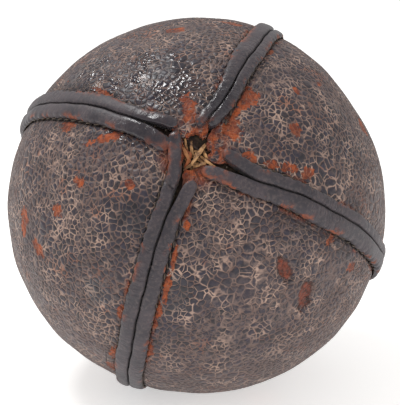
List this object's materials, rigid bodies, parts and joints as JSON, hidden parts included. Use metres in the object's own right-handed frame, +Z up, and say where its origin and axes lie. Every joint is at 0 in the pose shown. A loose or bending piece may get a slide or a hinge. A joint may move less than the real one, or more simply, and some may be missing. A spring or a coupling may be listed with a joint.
{
  "type": "medicine ball",
  "caption": "stuffed leather medicine ball, hand-sewn from long gores with raised folded bindings along the seams, worn open at one pole where straw shows",
  "frame": {"origin": "on the floor under the middle of the ball, at the bottom centre of its box", "axes": "+Z up from the rest patch, -Y is the side that the torn front pole faces, +X to the right as seen from there"},
  "size_m": [0.276, 0.2805, 0.273],
  "materials": {
    "cover_leather": "crazed, semi-matte, worn to rust-orange in patches",
    "binding_leather": "smooth satin",
    "lining_canvas": "matte woven canvas",
    "waxed_thread": "waxed linen thread",
    "packed_fibre": "matte packed straw and hair",
    "straw": "dry straw"
  },
  "bodies": {
    "root": {"cover_panel_upper_left": "cover_leather", "cover_panel_lower_left": "cover_leather", "cover_panel_lower_right": "cover_leather", "cover_panel_upper_right": "cover_leather", "lining_panel_upper_left": "lining_canvas", "lining_panel_lower_left": "lining_canvas", "lining_panel_lower_right": "lining_canvas", "lining_panel_upper_right": "lining_canvas", "edge_binding_top_left": "binding_leather", "edge_binding_top_right": "binding_leather", "edge_binding_left_lower": "binding_leather", "edge_binding_left_upper": "binding_leather", "edge_binding_bottom_right": "binding_leather", "edge_binding_bottom_left": "binding_leather", "edge_binding_right_upper": "binding_leather", "edge_binding_right_lower": "binding_leather", "binding_stitches_top_left": "waxed_thread", "binding_stitches_top_right": "waxed_thread", "binding_stitches_left_lower": "waxed_thread", "binding_stitches_left_upper": "waxed_thread", "binding_stitches_bottom_right": "waxed_thread", "binding_stitches_bottom_left": "waxed_thread", "binding_stitches_right_upper": "waxed_thread", "binding_stitches_right_lower": "waxed_thread", "closing_stitches_top": "waxed_thread", "closing_stitches_left": "waxed_thread", "closing_stitches_bottom": "waxed_thread", "closing_stitches_right": "waxed_thread", "stuffing": "packed_fibre", "loose_straw": "straw"}
  },
  "joints": []
}
